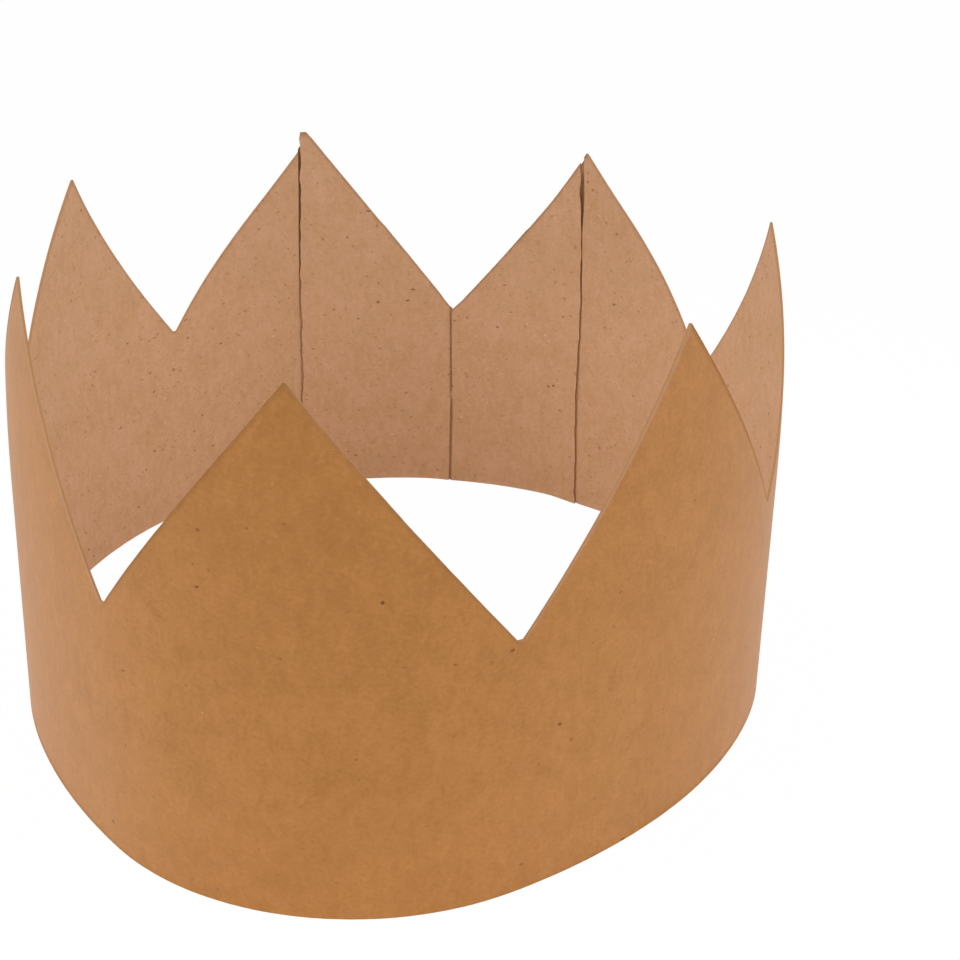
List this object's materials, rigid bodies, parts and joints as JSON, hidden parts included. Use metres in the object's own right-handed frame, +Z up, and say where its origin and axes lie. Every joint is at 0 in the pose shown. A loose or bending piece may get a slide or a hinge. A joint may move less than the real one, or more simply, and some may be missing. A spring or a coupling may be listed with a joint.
{
  "type": "paper crown",
  "caption": "Open paper crown made from one strip of kraft card with pointed top edge, closed at the back by two interlocking slits.",
  "frame": {"origin": "middle of the bounding box of the crown's base, on the surface that it stands on", "axes": "+Z up out of the head opening, +Y towards the overlap and its slits at the back, -Y towards the front point, +X to the wearer's left when the front point is over the forehead"},
  "size_m": [0.1702, 0.1962, 0.1025],
  "materials": {
    "kraft_card": "matte"
  },
  "bodies": {
    "root": {"crown_band": "kraft_card"}
  },
  "joints": []
}
